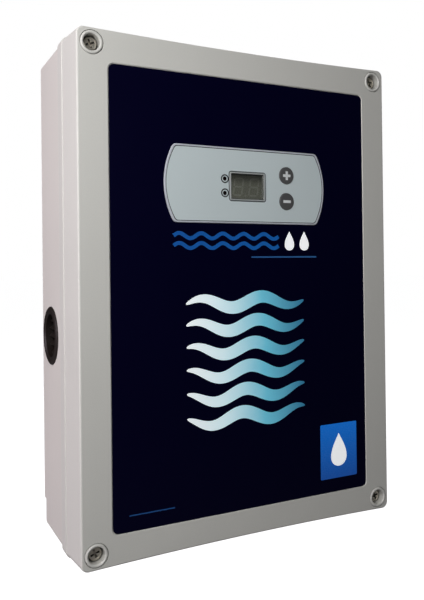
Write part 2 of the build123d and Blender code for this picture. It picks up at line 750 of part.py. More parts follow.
# ------------------------------------------------------------- side vents
VENT_PROFILE = [              # radius, distance out from the tub's side wall
    (VENT_OPEN_R, -11.0), (17.3, -11.0), (17.3, 0.0), (VENT_R, 0.0), (VENT_R, 0.5),
    (19.7, 1.0), (18.6, 1.45), (17.4, 1.6), (16.2, 1.5), (VENT_OPEN_R, 0.6),
]


def make_vent():
    with BuildSketch(Plane.XZ) as profile:
        with BuildLine():
            Polyline(*VENT_PROFILE, close=True)
        make_face()
    vent = revolve(profile.sketch, Axis.Z)
    # slanted louvres, trimmed to the opening
    core = Cylinder(VENT_OPEN_R + 0.3, 14.0, align=(Align.CENTER, Align.CENTER, Align.MAX))
    core = core.moved(Location((0, 0, 1.0)))
    for i in range(-2, 3):
        louvre = Pos(0, i * 5.6, -4.5) * Rot(-38, 0, 0) * Box(32.0, 1.2, 5.6)
        vent = vent + (louvre & core)
    # four snap barbs behind the wall
    for angle in (45, 135, 225, 315):
        vent = vent + Rot(0, 0, angle) * Pos(17.6, 0, -4.1) * Box(1.5, 7.0, 1.8)
    return vent


def make_filter():
    return Pos(0, 0, -10.4) * extrude(Circle(VENT_OPEN_R - 0.04), amount=3.0)


vent_seats = [side_plane(side, TUB[0]).location for side in SIDES]
save("side_vents", *[seat * make_vent() for seat in vent_seats])
save("vent_filters", *[seat * make_filter() for seat in vent_seats])

# ------------------------------------------------------------ cable glands
NUT_TOP, NUT_BOTTOM = GLAND_SEAT - 8.4, GLAND_SEAT - 23.8


def hex_radius(across_flats):
    return across_flats / 2 / math.cos(math.pi / 6)


def gland_rod(x, radius, low, high):
    """Round bar on a gland axis; low and high are measured from the pad's lower face."""
    return upright(x, GLAND_SEAT + low, GLAND_SEAT + high, Circle(radius))


def gland_hex(x, across_flats, low, high):
    sketch = RegularPolygon(hex_radius(across_flats), 6)
    return upright(x, GLAND_SEAT + low, GLAND_SEAT + high, sketch)


def make_gland_body(x, thread_r, across_flats, bore_r):
    body = gland_hex(x, across_flats, -5.0, 0)
    body = body & gland_rod(x, hex_radius(across_flats) * 0.975, -5.0, 0)
    body = (body + gland_rod(x, thread_r, -0.1, 12.0)
            + gland_rod(x, thread_r - 0.05, -14.0, -4.9))
    return (body - gland_rod(x, bore_r, -15.0, 13.0)
            - gland_rod(x, thread_r - 2.5, -15.0, -5.0))


def make_locknut(x, thread_r, across_flats):
    across_flats = across_flats + 3
    low, high = PAD_THICK, PAD_THICK + 4.6
    nut = gland_hex(x, across_flats, low, high)
    nut = nut & gland_rod(x, across_flats / 2 * 1.11, low, high)
    return nut - gland_rod(x, thread_r + 0.05, 4.0, 11.0)


def make_gland_seal(x, thread_r, bore_r):
    # clamping seal, part way into the body's mouth
    seal = gland_rod(x, thread_r - 2.6, -19.4, -10.4)
    return seal - gland_rod(x, bore_r, -20.0, -10.0)


def make_dome_nut(x, thread_r, across_flats, bore_r):
    corner_r = hex_radius(across_flats)
    height = NUT_TOP - NUT_BOTTOM
    nut = upright(x, NUT_BOTTOM, NUT_TOP, RegularPolygon(corner_r, 6))
    flat_r, side_r = corner_r * 0.62, corner_r * 0.975
    with BuildSketch(Plane.XZ) as dome:
        with BuildLine():
            Line((0, 0), (flat_r, 0))
            ThreePointArc((flat_r, 0), (corner_r * 0.88, 2.2), (side_r, 6.0))
            Line((side_r, 6.0), (side_r, height))
            Line((side_r, height), (0, height))
            Line((0, height), (0, 0))
        make_face()
    nut = nut & (Pos(x, GLAND_Y, NUT_BOTTOM) * revolve(dome.sketch, Axis.Z))
    return (nut - gland_rod(x, thread_r, -17.2, -7.4)
            - gland_rod(x, thread_r - 2.2, -19.4, -8.4)
            - gland_rod(x, bore_r + 0.4, -24.8, -8.4))


for gland_name, (x, thread_r, across_flats, bore_r) in GLANDS.items():
    save(gland_name + "_gland_seal", make_gland_seal(x, thread_r, bore_r))
    save(gland_name + "_gland_nut", make_dome_nut(x, thread_r, across_flats, bore_r))
save("gland_bodies", *[make_gland_body(*gland) for gland in GLANDS.values()])
save("gland_locknuts", *[make_locknut(*gland[:3]) for gland in GLANDS.values()])
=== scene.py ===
"""Wall-hung control box: grey enclosure, printed lid label, keypad and two-digit display.

The wall is the plane y = 0 and the box stands out from it towards -Y, with +Z up and +X
to the right of someone facing it. Artwork is laid out in millimetres, as (x, z) outlines
at heights in front of the wall.
"""
import math

import bmesh
import bpy
from mathutils import Matrix, Vector


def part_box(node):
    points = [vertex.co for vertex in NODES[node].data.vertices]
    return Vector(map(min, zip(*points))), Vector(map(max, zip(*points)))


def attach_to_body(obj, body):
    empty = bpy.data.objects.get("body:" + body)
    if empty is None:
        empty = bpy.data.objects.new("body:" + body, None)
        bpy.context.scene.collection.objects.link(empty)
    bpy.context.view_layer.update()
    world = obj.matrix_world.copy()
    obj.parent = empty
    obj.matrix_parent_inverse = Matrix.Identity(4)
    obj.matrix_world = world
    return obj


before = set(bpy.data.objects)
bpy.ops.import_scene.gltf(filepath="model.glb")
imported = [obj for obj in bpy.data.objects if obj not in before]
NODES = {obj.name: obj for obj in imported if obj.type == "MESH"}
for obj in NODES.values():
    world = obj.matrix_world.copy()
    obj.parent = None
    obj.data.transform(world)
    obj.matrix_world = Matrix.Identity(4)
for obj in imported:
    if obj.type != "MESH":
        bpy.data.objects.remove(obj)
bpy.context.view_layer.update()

MM = 1000.0                      # millimetres in a metre
scene = bpy.context.scene


# ------------------------------------------------------------ shader graphs
class Graph:
    """The node tree of a material or a world."""

    def __init__(self, owner, output_kind):
        owner.use_nodes = True
        self.owner = owner
        self.tree = owner.node_tree
        self.tree.nodes.clear()
        self.output = self.tree.nodes.new(output_kind)

    def put(self, socket, value):
        """Link a socket, or set its value; colours may be given without alpha."""
        if isinstance(value, bpy.types.NodeSocket):
            self.tree.links.new(value, socket)
        else:
            if socket.type == "RGBA" and len(value) == 3:
                value = (*value, 1.0)
            socket.default_value = value

    def node(self, kind, *inputs, **named):
        """New node: inputs by position, then inputs (_ for a space) or properties by name."""
        node = self.tree.nodes.new(kind)
        values = list(enumerate(inputs))
        for name, value in named.items():
            socket = name.replace("_", " ")
            if socket in node.inputs:
                values.append((socket, value))
            else:
                setattr(node, name, value)
        for key, value in values:
            self.put(node.inputs[key], value)
        return node

    def out(self, kind, *inputs, **named):
        """First output of a new node."""
        return self.node(kind, *inputs, **named).outputs[0]

    def surface(self, shader):
        self.put(self.output.inputs["Surface"], shader)
        return self.owner


class Material(Graph):
    """A material whose textures are laid out in object coordinates."""

    def __init__(self, name):
        super().__init__(bpy.data.materials.new(name), "ShaderNodeOutputMaterial")
        self.coords = self.node("ShaderNodeTexCoord").outputs["Object"]

    def math(self, operation, a, b=0.0, *rest, clamp=False):
        return self.out("ShaderNodeMath", a, b, *rest, operation=operation, use_clamp=clamp)

    def times(self, a, b):
        return self.math("MULTIPLY", a, b)

    def muladd(self, value, times, plus, clamp=False):
        return self.math("MULTIPLY_ADD", value, times, plus, clamp=clamp)

    def centred(self, noise):
        return self.math("SUBTRACT", noise, 0.5)

    def fraction(self, value, start, length):
        """0 to 1 as the value runs from start over a length."""
        return self.math("DIVIDE", self.math("SUBTRACT", value, start), length, clamp=True)

    def noise(self, scale, detail=2.0, rough=0.5, coords=None):
        return self.out("ShaderNodeTexNoise", Vector=coords or self.coords,
                        Scale=scale, Detail=detail, Roughness=rough)

    def mapped(self, scale=(1, 1, 1), turn=(0, 0, 0), coords=None):
        return self.out("ShaderNodeMapping", Vector=coords or self.coords,
                        Scale=scale, Rotation=turn)

    def ramp(self, factor, *stops):
        """Colour ramp; each stop is (position, colour)."""
        node = self.node("ShaderNodeValToRGB", factor)
        elements = node.color_ramp.elements
        while len(elements) > 1:
            elements.remove(elements[-1])
        elements[0].position = stops[0][0]
        elements[0].color = (*stops[0][1], 1.0)
        for position, colour in stops[1:]:
            elements.new(position).color = (*colour, 1.0)
        return node.outputs[0]

    def grey(self, factor, *stops):
        """Grey ramp; each stop is (position, level)."""
        return self.ramp(factor, *[(position, (level,) * 3) for position, level in stops])

    def mix(self, factor, a, b, blend="MIX"):
        node = self.node("ShaderNodeMix", data_type="RGBA", blend_type=blend)
        for index, value in ((0, factor), (6, a), (7, b)):
            self.put(node.inputs[index], value)
        return node.outputs[2]

    def scaled(self, colour, level):
        """Colour multiplied by a level."""
        levels = self.out("ShaderNodeCombineXYZ", level, level, level)
        return self.mix(1.0, colour, levels, "MULTIPLY")

    def xyz(self, vector=None):
        return self.node("ShaderNodeSeparateXYZ", vector or self.coords).outputs

    def geometry_normal(self):
        return self.node("ShaderNodeNewGeometry").outputs["Normal"]

    def rounded(self, radius):
        """Normal that rounds off the edges."""
        return self.out("ShaderNodeBevel", samples=4, Radius=radius)

    def edge(self, radius):
        """0 on flats, 1 on sharp convex and concave edges, plus the rounded normal."""
        normal = self.rounded(radius)
        dot = self.node("ShaderNodeVectorMath", normal, self.geometry_normal(),
                        operation="DOT_PRODUCT").outputs["Value"]
        bend = self.math("SUBTRACT", 1.0, dot)
        return self.out("ShaderNodeMapRange", Value=bend, From_Min=0.0, From_Max=0.35), normal

    def corners(self, reach, *stops):
        """Ambient occlusion within a reach, through a grey ramp."""
        node = self.node("ShaderNodeAmbientOcclusion", samples=6, Distance=reach)
        return self.grey(node.outputs["AO"], *stops)

    def bump(self, height, distance, strength=1.0, **normal):
        return self.out("ShaderNodeBump", Height=height, Distance=distance,
                        Strength=strength, **normal)

    def principled(self, **values):
        return self.surface(self.out("ShaderNodeBsdfPrincipled", **values))


def srgb(*levels):
    """Linear colour from 0-255 sRGB levels."""
    def linear(c):
        c /= 255.0
        return c / 12.92 if c <= 0.04045 else ((c + 0.055) / 1.055) ** 2.4
    return tuple(linear(level) for level in levels)


def shade(colour, gain, lift=0.0):
    return tuple(min(1.0, c * gain + lift) for c in colour)


# --------------------------------------------------------------- materials
def moulded(name, rgb, rough, grain=0.5, grain_height=0.012, variation=0.05, edge_radius=0.35,
            edge_wear_and_highlight=0.12, corner_shade=0.0, specular=0.5, corner_shade_reach=0.004, well=None):
    """Moulded plastic: fine grain, flow clouding, paler edges, painted shade in corners.

    Edges are worn in patches and also painted lighter all along: a painted highlight. Grain and
    edge radius are in mm, the corner shade reach in metres. A well is painted darker with depth:
    painted shade.
    """
    t = Material(name)
    cloud = t.noise(14.0, detail=4.0, rough=0.55)
    flow = t.noise(60.0, coords=t.mapped(scale=(1.0, 1.0, 0.25)))
    fine = t.noise(1000.0 / grain, detail=3.0, rough=0.6)
    finest = t.noise(2700.0 / grain, detail=1.0)
    edge, rounded = t.edge(edge_radius / MM)
    level = t.muladd(cloud, times=variation * 1.6, plus=1.0 - variation * 0.8)
    level = t.muladd(t.centred(flow), times=variation * 0.8, plus=level)
    level = t.muladd(t.centred(fine), times=0.10, plus=level)
    base = t.scaled(rgb, level)

    patches = t.grey(t.noise(220.0, detail=4.0, rough=0.7), (0.42, 0.0), (0.62, 1.0))
    scuff = t.times(edge, patches)
    # paler edges: wear in scuffed patches, plus a painted highlight along every edge
    worn_and_highlit = t.muladd(edge, times=0.45, plus=t.times(scuff, 0.55))
    base = t.mix(t.times(worn_and_highlit, edge_wear_and_highlight), base, shade(rgb, gain=1.25, lift=0.10))
    if well:
        # painted shade: the colour darkens with depth down the well
        top, floor = well["top"], well["floor"]
        depth = t.fraction(t.xyz()["Y"], -top / MM, (top - floor) / MM)
        dark = t.grey(depth, (0.0, 0.0), (0.5, 0.25), (1.0, 1.0))
        base = t.mix(t.times(dark, well["strength"]), base, well["colour"])
    if corner_shade > 0:
        # painted shade: ambient occlusion darkens corners and recesses, broken up by noise
        corner_shade_mask = t.times(t.corners(corner_shade_reach, (0.25, 1.0), (0.8, 0.0)),
                       t.grey(t.noise(90.0, detail=4.0), (0.3, 0.4), (0.7, 1.0)))
        base = t.mix(t.times(corner_shade_mask, corner_shade), base, shade(rgb, gain=0.45))

    roughness = t.muladd(cloud, times=0.14, plus=rough - 0.07)
    roughness = t.muladd(edge, times=-0.10, plus=roughness)
    height = t.muladd(finest, times=0.35, plus=fine)
    return t.principled(Base_Color=base, Roughness=roughness, Specular_IOR_Level=specular,
                        Normal=t.bump(height, grain_height / MM, Normal=rounded),
                        Coat_Roughness=0.15)


def rim_shade(t):
    """Level that falls off towards the upper rim of the display opening."""
    rim_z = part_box("display_window")[1].z
    below = t.fraction(rim_z, t.xyz()["Z"], length=0.017)
    return t.grey(below, (0.0, 0.26), (0.16, 0.40), (0.42, 0.92), (1.0, 1.0))


def film(name, rgb, rough, variation=0.05, peel_height=0.004, specular=0.5, dots=False,
         shaded=False):
    """Printed film: even colour, faint orange peel (mm high), hairline scratches, haze."""
    t = Material(name)
    cloud = t.noise(9.0, detail=4.0, rough=0.6)
    peel = t.noise(420.0)
    steep = t.noise(900.0, rough=0.6, coords=t.mapped((1.0, 1.0, 0.03), turn=(0.0, 0.35, 0.0)))
    level = t.noise(1100.0, rough=0.6, coords=t.mapped((0.03, 1.0, 1.0), turn=(0.0, -0.2, 0.0)))
    scratches = t.math("MAXIMUM", t.grey(steep, (0.68, 0.0), (0.74, 1.0)),
                       t.grey(level, (0.69, 0.0), (0.75, 1.0)))
    base = t.scaled(rgb, t.muladd(cloud, times=variation * 2.0, plus=1.0 - variation))
    edge, rounded = t.edge(0.0002)
    # painted highlight: every edge of the film is painted lighter
    base = t.mix(t.times(edge, 0.25), base, shade(rgb, gain=1.2, lift=0.06))
    if shaded:
        base = t.scaled(base, rim_shade(t))
    roughness = t.muladd(cloud, times=0.12, plus=rough - 0.06)
    roughness = t.muladd(scratches, times=0.10, plus=roughness)
    height = t.muladd(scratches, times=-0.3, plus=peel)
    if dots:
        height = t.muladd(t.noise(2600.0, detail=1.0), times=1.2, plus=height)
    return t.principled(Base_Color=base, Roughness=roughness, Specular_IOR_Level=specular,
                        Normal=t.bump(height, peel_height / MM, Normal=rounded))


def metal(name, rgb, rough, line_scale=(1.0, 0.08, 1.0), plating=0.12, stain=0.25, recess_shade=0.0):
    """Plated or turned metal: cloudy plating, fine tool lines, brown stains, paler edges that
    are a painted highlight, painted shade in recesses.
    """
    t = Material(name)
    cloud = t.noise(180.0, detail=4.0, rough=0.6)
    blots = t.noise(60.0, detail=3.0, rough=0.6)
    lines = t.noise(2400.0, rough=0.6, coords=t.mapped(line_scale))
    edge, rounded = t.edge(0.00025)
    base = t.mix(t.grey(cloud, (0.3, 0.0), (0.75, plating * 2)), rgb, shade(rgb, gain=0.6))
    stained = t.times(t.grey(blots, (0.52, 0.0), (0.72, 1.0)), stain)
    base = t.mix(stained, base, (0.25, 0.21, 0.15))
    # painted highlight: every edge is painted lighter
    base = t.mix(t.times(edge, 0.4), base, shade(rgb, gain=1.3))
    if recess_shade > 0:
        # painted shade: ambient occlusion darkens recesses to near black
        recess = t.corners(0.0022, (0.30, 1.0), (0.72, 0.0))
        base = t.mix(t.times(recess, recess_shade), base, (0.020, 0.014, 0.010))
    roughness = t.muladd(cloud, times=0.22, plus=rough - 0.08)
    height = t.muladd(lines, times=1.0, plus=t.times(cloud, 0.5))
    return t.principled(Base_Color=base, Metallic=1.0, Roughness=roughness,
                        Normal=t.bump(height, 0.000012, strength=0.8, Normal=rounded))


def rubber(name, rgb, rough=0.75):
    """Dull rubber with a pale bloom."""
    t = Material(name)
    cloud = t.noise(45.0, detail=4.0, rough=0.6)
    fine = t.noise(1800.0, rough=0.6)
    edge, rounded = t.edge(0.0003)
    bloom = t.grey(t.noise(120.0, detail=5.0, rough=0.7), (0.5, 0.0), (0.8, 0.35))
    base = t.mix(bloom, rgb, shade(rgb, gain=1.0, lift=0.06))
    # painted highlight: every edge is painted lighter
    base = t.mix(t.times(edge, 0.3), base, shade(rgb, gain=1.0, lift=0.08))
    return t.principled(Base_Color=base, Specular_IOR_Level=0.35,
                        Roughness=t.muladd(cloud, times=0.2, plus=rough - 0.1),
                        Normal=t.bump(fine, 0.00002, strength=0.9, Normal=rounded))


def circuit(name, mask, trace):
    """Solder mask over traces and pads, with pale bare laminate on the cut edges."""
    t = Material(name)
    x, _, z = t.xyz()
    flat = t.out("ShaderNodeCombineXYZ", X=x, Y=z, Z=0.0)
    traces = t.out("ShaderNodeTexBrick", offset=0.37, squash=0.6, squash_frequency=3,
                   Vector=t.mapped(coords=flat), Scale=1.0, Mortar_Size=0.00035,
                   Brick_Width=0.017, Row_Height=0.0031,
                   Color1=(0, 0, 0), Color2=(0, 0, 0), Mortar=(1, 1, 1))
    cells = t.out("ShaderNodeTexVoronoi", Vector=flat, Scale=210.0, Randomness=0.55)
    pads = t.grey(cells, (0.13, 1.0), (0.16, 0.0))
    holes = t.grey(cells, (0.05, 1.0), (0.07, 0.0))
    cloud = t.noise(26.0, detail=3.0)
    base = t.mix(t.grey(cloud, (0.3, 0.0), (0.8, 1.0)), mask, shade(mask, gain=1.35))
    base = t.mix(t.times(traces, 0.75), base, trace)
    base = t.mix(pads, base, (0.62, 0.60, 0.55))
    # painted shade: holes are painted as near-black discs
    base = t.mix(holes, base, (0.02, 0.02, 0.02))
    facing = t.math("ABSOLUTE", t.xyz(t.geometry_normal())["Y"])
    base = t.mix(t.grey(facing, (0.3, 1.0), (0.6, 0.0)), base, (0.42, 0.40, 0.22))
    height = t.math("ADD", t.times(traces, 0.6), t.times(pads, 1.0))
    height = t.muladd(t.noise(1500.0, detail=1.0), times=0.15, plus=height)
    return t.principled(Base_Color=base, Metallic=t.times(pads, 0.9),
                        Roughness=t.muladd(cloud, times=0.15, plus=0.28),
                        Normal=t.bump(height, 0.00005, strength=0.8))


def smoked_window():
    """Display window: clear with a thin haze, shaded under the rim, glossy at grazing angles."""
    t = Material("window_smoke")
    cloud = t.noise(60.0, detail=3.0)
    normal = t.bump(t.noise(500.0), 0.000003, strength=0.7, Normal=t.rounded(0.0002))
    fresnel = t.out("ShaderNodeFresnel", IOR=1.49, Normal=normal)
    clear = t.out("ShaderNodeBsdfTransparent",
                  Color=t.mix(cloud, (0.90, 0.91, 0.88), (0.94, 0.95, 0.92)))
    gloss = t.out("ShaderNodeBsdfGlossy", Normal=normal,
                  Roughness=t.muladd(cloud, times=0.08, plus=0.08))
    haze = t.out("ShaderNodeBsdfDiffuse", Color=t.scaled((0.36, 0.36, 0.34), rim_shade(t)))
    hazed = t.out("ShaderNodeMixShader", 0.14, clear, haze)
    return t.surface(t.out("ShaderNodeMixShader", fresnel, hazed, gloss))


def fuse_glass():
    t = Material("fuse_glass")
    tint = (0.86, 0.89, 0.88)
    cloud = t.noise(300.0, detail=3.0)
    fresnel = t.out("ShaderNodeFresnel", IOR=1.5)
    clear = t.out("ShaderNodeBsdfTransparent", Color=t.mix(cloud, tint, shade(tint, gain=0.93)))
    gloss = t.out("ShaderNodeBsdfGlossy", Roughness=t.muladd(cloud, times=0.05, plus=0.04))
    shine = t.muladd(fresnel, times=1.0, plus=0.08)
    return t.surface(t.out("ShaderNodeMixShader", shine, clear, gloss))


def transformer_tape():
    """Overlapping turns of tape round the transformer's ring."""
    turns, skew = 26.0, 30.0     # laps round the ring, laps per metre of depth
    t = Material("transformer_tape")
    low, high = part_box("toroidal_transformer")
    centre = (low + high) / 2
    x, y, z = t.xyz()
    angle = t.math("ARCTAN2", t.math("SUBTRACT", z, centre.z), t.math("SUBTRACT", x, centre.x))
    turn = t.math("FRACT", t.muladd(angle, times=turns / (2 * math.pi), plus=t.times(y, skew)))
    lap = t.grey(turn, (0.0, 0.0), (0.10, 1.0), (0.9, 0.9), (1.0, 0.0))
    cloud = t.noise(70.0, detail=4.0)
    base = t.mix(t.grey(cloud, (0.3, 0.0), (0.75, 1.0)), srgb(214, 176, 62), srgb(196, 152, 44))
    seam = t.times(t.math("SUBTRACT", 1.0, lap), 0.6)
    base = t.mix(seam, base, srgb(120, 84, 20))
    height = t.muladd(turn, times=0.5, plus=t.times(cloud, 0.2))
    return t.principled(Base_Color=base, Roughness=t.muladd(cloud, times=0.1, plus=0.22),
                        Coat_Weight=0.3, Normal=t.bump(height, 0.0003, strength=0.6))


def sleeve(name, rgb, groove=None):
    """Smooth sleeving, or ribbon cable when a colour is given for the grooves across X."""
    cores_per_metre = 787.0
    t = Material(name)
    cloud = t.noise(150.0, detail=3.0)
    base = t.mix(t.grey(cloud, (0.3, 0.0), (0.8, 1.0)), rgb, shade(rgb, gain=1.3))
    height, depth = cloud, 0.00005
    if groove:
        across = t.math("FRACT", t.times(t.xyz()["X"], cores_per_metre))
        height = t.grey(across, (0.0, 0.0), (0.12, 1.0), (0.88, 1.0), (1.0, 0.0))
        depth = 0.0003
        # painted shade: the grooves between cores are painted darker
        base = t.mix(t.math("SUBTRACT", 1.0, height), base, groove)
    return t.principled(Base_Color=base, Roughness=t.muladd(cloud, times=0.15, plus=0.32),
                        Normal=t.bump(height, depth, strength=0.8))


def ink(name, *stops, axis="X", low=-50.0, high=50.0, glow=0.0):
    """Screen-printed ink, its colour running from low to high (mm) along an axis."""
    t = Material(name)
    along = t.fraction(t.xyz()[axis], low / MM, (high - low) / MM)
    drift = t.centred(t.noise(40.0, detail=3.0))
    base = t.ramp(t.muladd(drift, times=0.10, plus=along, clamp=True), *stops)
    screen = t.grey(t.noise(2400.0, detail=1.0), (0.4, 0.0), (0.6, 1.0))
    base = t.mix(0.018, base, screen)
    # glow: emission on the ink, painted light though the ink is no lamp
    return t.principled(Base_Color=base, Emission_Color=base, Emission_Strength=glow,
                        Roughness=t.muladd(t.noise(30.0, detail=3.0), times=0.12, plus=0.27),
                        Specular_IOR_Level=0.08, Normal=t.bump(t.noise(420.0), 0.000004))


# ------------------------------------------------------ dressing the pieces
CORNERS = ("upper_left", "upper_right", "lower_left", "lower_right")
GLANDS = ("sensor", "cell", "mains")
# painted shade: screw wells are painted darker from their mouth to their floor, heights in mm
SCREW_WELL_SHADE = dict(top=95.6, floor=89.5, strength=0.7, colour=srgb(92, 78, 64))


def dress(material, *names):
    for name in names:
        piece = NODES[name]
        if not piece.data.materials:
            piece.data.materials.append(material)
        for slot in piece.material_slots:
            slot.material = material


# housing
dress(moulded("enclosure_grey", srgb(226, 222, 217), rough=0.52, grain=0.7, variation=0.035,
              edge_wear_and_highlight=0.10, corner_shade=0.35, edge_radius=0.2), "rear_enclosure")
dress(moulded("lid_grey", srgb(222, 221, 216), rough=0.48, grain=0.7, variation=0.035,
              edge_wear_and_highlight=0.06, corner_shade=0.30, edge_radius=0.2), "lid")
dress(moulded("bush_grey", srgb(226, 225, 220), rough=0.34, grain=0.3, grain_height=0.004,
              variation=0.03, edge_radius=0.25, edge_wear_and_highlight=0.10, corner_shade=0.35, corner_shade_reach=0.008,
              well=SCREW_WELL_SHADE), "screw_bushes")
dress(moulded("vent_black", srgb(34, 27, 24), rough=0.42, grain=0.4, grain_height=0.006,
              variation=0.12, edge_radius=0.3, edge_wear_and_highlight=0.08, corner_shade=0.6, specular=0.3),
      "side_vents")

# label, keypad and display
dress(film("label_dark", srgb(2, 1, 32), rough=0.40, variation=0.10, specular=0.10),
      "front_label")
dress(moulded("keypad_border", srgb(206, 210, 220), rough=0.34, grain=0.25,
              grain_height=0.003, variation=0.02, edge_radius=0.12, edge_wear_and_highlight=0.0, corner_shade=0.6,
              specular=0.3, corner_shade_reach=0.002), "keypad_bezel")
dress(film("keypad_grey", srgb(217, 229, 232), rough=0.50, peel_height=0.006, specular=0.3,
           dots=True), "keypad_overlay")
dress(moulded("display_frame_grey", srgb(178, 182, 182), rough=0.40, grain=0.3,
              grain_height=0.004, edge_radius=0.15, edge_wear_and_highlight=0.05, corner_shade=0.6, specular=0.3,
              corner_shade_reach=0.002), "display_frame")
dress(film("digit_module_face", srgb(214, 216, 202), rough=0.5, variation=0.06, shaded=True),
      "digit_module")
dress(smoked_window(), "display_window")
dress(moulded("key_dark", srgb(88, 88, 89), rough=0.42, grain=0.3, grain_height=0.006,
              variation=0.06, edge_radius=0.3, edge_wear_and_highlight=0.35), "plus_key", "minus_key")
dress(moulded("led_dark", srgb(26, 20, 20), rough=0.2, grain=0.2, grain_height=0.001,
              variation=0.1, edge_radius=0.15, edge_wear_and_highlight=0.2), "status_leds")

# black mouldings, seals and foam
dress(moulded("moulded_black", srgb(36, 35, 36), rough=0.42, grain=0.4, grain_height=0.010,
              variation=0.15, edge_radius=0.3, edge_wear_and_highlight=0.22, corner_shade=0.2),
      "plus_plunger", "minus_plunger", "key_switches", "display_header", "ribbon_header",
      "ribbon_sockets", "gland_bodies", "gland_locknuts", *[g + "_gland_nut" for g in GLANDS])
dress(rubber("seal_rubber", srgb(44, 44, 46)), "lid_gasket", "transformer_pads",
      *[g + "_gland_seal" for g in GLANDS], *["screw_washer_" + c for c in CORNERS])
dress(rubber("foam_black", srgb(24, 24, 24), rough=0.95), "vent_filters")

# metal parts
dress(metal("zinc_steel", (0.62, 0.61, 0.58), rough=0.32),
      "transformer_washer", "transformer_bolt", "m3_screws", "display_board_screws",
      "terminal_screws", "fuse_holder", "bridge_rectifier")
dress(metal("lid_screw_steel", (0.80, 0.75, 0.66), rough=0.34, plating=0.2, recess_shade=0.9),
      *["lid_screw_" + c for c in CORNERS])
dress(metal("turned_brass", (0.70, 0.50, 0.20), rough=0.28, line_scale=(0.06, 1.0, 1.0)),
      "screw_inserts")
dress(metal("anodised_black", (0.035, 0.035, 0.04), rough=0.42, stain=0.05), "heat_sink")

# boards and what they carry
dress(circuit("board_green", mask=(0.012, 0.11, 0.045), trace=(0.03, 0.20, 0.075)),
      "power_board", "display_board")
dress(moulded("terminal_green", srgb(46, 138, 84), rough=0.45, grain=0.3, grain_height=0.005,
              variation=0.08, edge_wear_and_highlight=0.25), *[g + "_terminal_block" for g in GLANDS])
dress(moulded("relay_blue", srgb(38, 78, 150), rough=0.22, grain=0.3, grain_height=0.002,
              variation=0.06, edge_wear_and_highlight=0.2), "polarity_relays")
dress(moulded("chip_black", srgb(30, 30, 31), rough=0.5, grain=0.15, grain_height=0.004,
              variation=0.1, edge_wear_and_highlight=0.1), "controller_chip")
dress(sleeve("capacitor_sleeve", srgb(22, 26, 48)), "filter_capacitors")
dress(fuse_glass(), "mains_fuse")
dress(transformer_tape(), "toroidal_transformer")
dress(sleeve("wire_red", srgb(168, 36, 30)), "transformer_leads")
dress(sleeve("ribbon_grey", srgb(176, 178, 180), groove=srgb(90, 92, 95)), "ribbon_cable")


# ------------------------------------------------------- thin printed solids
def mesh_object(name, bm):
    mesh = bpy.data.meshes.new(name)
    bm.to_mesh(mesh)
    bm.free()
    piece = bpy.data.objects.new(name, mesh)
    scene.collection.objects.link(piece)
    return piece


def attach(name, bm, material, body):
    """Finish a printed piece that moves with a body and shares a slot."""
    bmesh.ops.recalc_face_normals(bm, faces=bm.faces[:])
    piece = mesh_object(name, bm)
    piece.data.materials.append(material)
    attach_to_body(piece, body)


def vertex(bm, x, z, height):
    return bm.verts.new((x / MM, -height / MM, z / MM))


def anticlockwise(points):
    area = sum(points[i - 1][0] * points[i][1] - points[i][0] * points[i - 1][1]
               for i in range(len(points)))
    return points if area > 0 else points[::-1]


def prism(name, outlines, bottom, top, material, body):
    """Closed solids between two heights, one from each outline."""
    bm = bmesh.new()
    for outline in outlines:
        points = anticlockwise(outline)
        upper = [vertex(bm, x, z, top) for x, z in points]
        lower = [vertex(bm, x, z, bottom) for x, z in points]
        bm.faces.new(upper)
        bm.faces.new(lower[::-1])
        count = len(points)
        for i in range(count):
            j = (i + 1) % count
            bm.faces.new((upper[i], lower[i], lower[j], upper[j]))
    bmesh.ops.triangulate(bm, faces=[f for f in bm.faces if len(f.verts) > 4])
    attach(name, bm, material, body)


def hoop(name, sides, bottom, top, material, body, slot):
    """Closed flat hoop; sides pairs each point of one outline with its mate on the other."""
    bm = bmesh.new()
    rows = [[vertex(bm, *a, bottom), vertex(bm, *a, top), vertex(bm, *b, top),
             vertex(bm, *b, bottom)] for a, b in sides]
    for i in range(len(rows)):
        near, far = rows[i], rows[(i + 1) % len(rows)]
        for k in range(4):
            m = (k + 1) % 4
            bm.faces.new((near[k], far[k], far[m], near[m]))
    attach(name, bm, material, body)


def ring_sides(x, z, inner, outer, count=48):
    turns = [2 * math.pi * i / count for i in range(count)]
    return [[(x + r * math.cos(a), z + r * math.sin(a)) for r in (inner, outer)]
            for a in turns]


def offset_sides(loop, a, b, merge=0.02, min_cosine=0.5):
    """Points at offsets a and b (mm, towards the inside) along a closed outline."""
    points = [loop[0]]
    for point in loop[1:]:
        if math.dist(point, points[-1]) > merge:
            points.append(point)
    if math.dist(points[0], points[-1]) < merge:
        points.pop()
    points = anticlockwise(points)
    sides = []
    for i, (x, z) in enumerate(points):
        (x0, z0), (x1, z1) = points[i - 1], points[(i + 1) % len(points)]
        before, after = math.hypot(x - x0, z - z0), math.hypot(x1 - x, z1 - z)
        nx = -(z - z0) / before - (z1 - z) / after
        nz = (x - x0) / before + (x1 - x) / after
        length = math.hypot(nx, nz)
        nx, nz = nx / length, nz / length
        # lengthen the offset at a corner so the hoop keeps its width
        mitre = 1.0 / max(min_cosine, nx * -(z - z0) / before + nz * (x - x0) / before)
        sides.append([(x + nx * mitre * o, z + nz * mitre * o) for o in (a, b)])
    return sides


